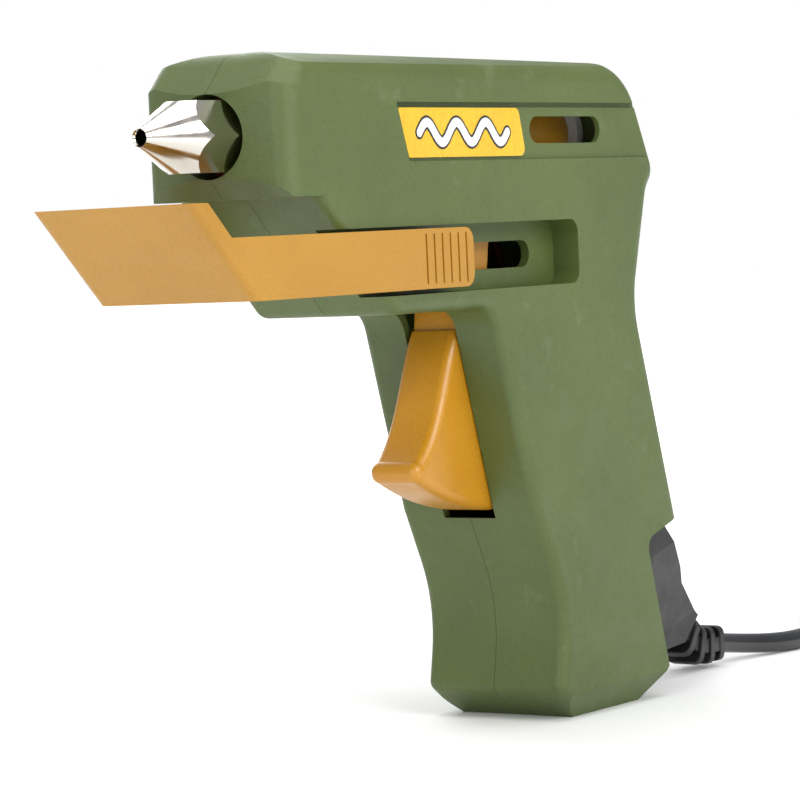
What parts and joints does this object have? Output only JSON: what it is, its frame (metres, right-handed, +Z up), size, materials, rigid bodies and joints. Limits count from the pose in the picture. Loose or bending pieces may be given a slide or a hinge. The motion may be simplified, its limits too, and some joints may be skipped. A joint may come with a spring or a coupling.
{
  "type": "hot-glue gun",
  "caption": "Trigger-fed hot-glue gun: clamshell body, nickel nozzle, sliding fold-out stand, feed carriage, detachable mains lead.",
  "frame": {"origin": "centre of the bounding box of the gun without its lead, at the foot of the grip", "axes": "+X forward along the glue stick towards the nozzle, +Y to the gun's left, +Z up along the standing gun"},
  "size_m": [0.4973, 0.0538, 0.175],
  "materials": {
    "olive_nylon": "fine moulded grain, olive green glass-filled nylon",
    "mustard_nylon": "semi-gloss moulded mustard yellow",
    "black_plastic": "fine matt black moulded plastic",
    "black_rubber": "smooth black flexible PVC",
    "white_plastic": "natural white plastic",
    "nickel": "polished nickel plate over brass",
    "aluminium_cast": "as-cast aluminium",
    "steel": "bright steel",
    "brass_sheet": "plain brass",
    "silicone": "soft silicone rubber",
    "ceramic": "grey PTC ceramic",
    "film": "amber polyimide film",
    "badge_yellow": "printed gloss yellow badge",
    "label_olive": "blank pale label"
  },
  "bodies": {
    "housing": {"left_housing": "olive_nylon", "right_housing": "olive_nylon", "nozzle": "nickel", "valve_seat": "brass_sheet", "valve_spring": "steel", "melt_chamber": "aluminium_cast", "ptc_heater": "ceramic", "heater_contacts": "brass_sheet", "heater_films": "film", "front_seal": "silicone", "inlet_sleeve": "silicone", "sleeve_clamp": "steel", "return_spring": "steel", "guide_ring": "white_plastic", "stick_guide": "black_plastic", "trigger_pin": "steel", "housing_screws": "steel", "left_badge": "badge_yellow", "right_badge": "badge_yellow", "top_label": "label_olive", "mains_inlet": "black_plastic", "inlet_prongs": "brass_sheet", "heater_wires": "silicone"},
    "trigger": {"trigger": "mustard_nylon"},
    "feed_carriage": {"feed_carriage": "mustard_nylon", "drive_pin": "steel", "jaw_pin": "steel"},
    "feed_jaw": {"feed_jaw": "steel"},
    "valve_ball": {"valve_ball": "steel"},
    "stand": {"stand_bracket": "mustard_nylon", "guide_shoes": "black_plastic"},
    "mains_lead": {"lead_connector": "black_plastic", "strain_relief": "black_rubber", "lead_cable": "black_rubber", "lead_hank": "black_rubber", "hank_tie": "black_plastic", "lead_tail": "black_rubber", "plug_body": "black_rubber", "plug_pins": "nickel"}
  },
  "joints": [
    {"name": "trigger_pull", "type": "hinge", "parent": "housing", "child": "trigger", "pos_m": [-0.029, 0, 0.116], "axis": [0, 1, 0], "range_deg": [0, 24], "stiffness_Nm_per_rad": 0.25, "springref_deg": -22.92},
    {"name": "feed_slide", "type": "slide", "parent": "housing", "child": "feed_carriage", "axis": [1, 0, 0], "range_m": [0, 0.0118], "deforming": ["return_spring"]},
    {"name": "feed_jaw_tilt", "type": "hinge", "parent": "feed_carriage", "child": "feed_jaw", "pos_m": [-0.072, 0, 0.1665], "axis": [0, 1, 0], "range_deg": [0, 6.1]},
    {"name": "valve_slide", "type": "slide", "parent": "housing", "child": "valve_ball", "axis": [1, 0, 0], "range_m": [0, 0.001], "stiffness_N_per_m": 200, "springref_m": -0.0005, "deforming": ["valve_spring"]},
    {"name": "stand_slide", "type": "slide", "parent": "housing", "child": "stand", "axis": [-1, 0, 0], "range_m": [0, 0.045]},
    {"name": "lead_unplug", "type": "slide", "parent": "housing", "child": "mains_lead", "axis": [-0.968, 0, 0.251], "range_m": [0, 0.014]}
  ],
  "couplings": [
    {"joint": "feed_slide", "follows": "trigger_pull", "m_per_rad": 0.027909},
    {"joint": "feed_jaw_tilt", "follows": "trigger_pull", "ratio": 0.25}
  ]
}
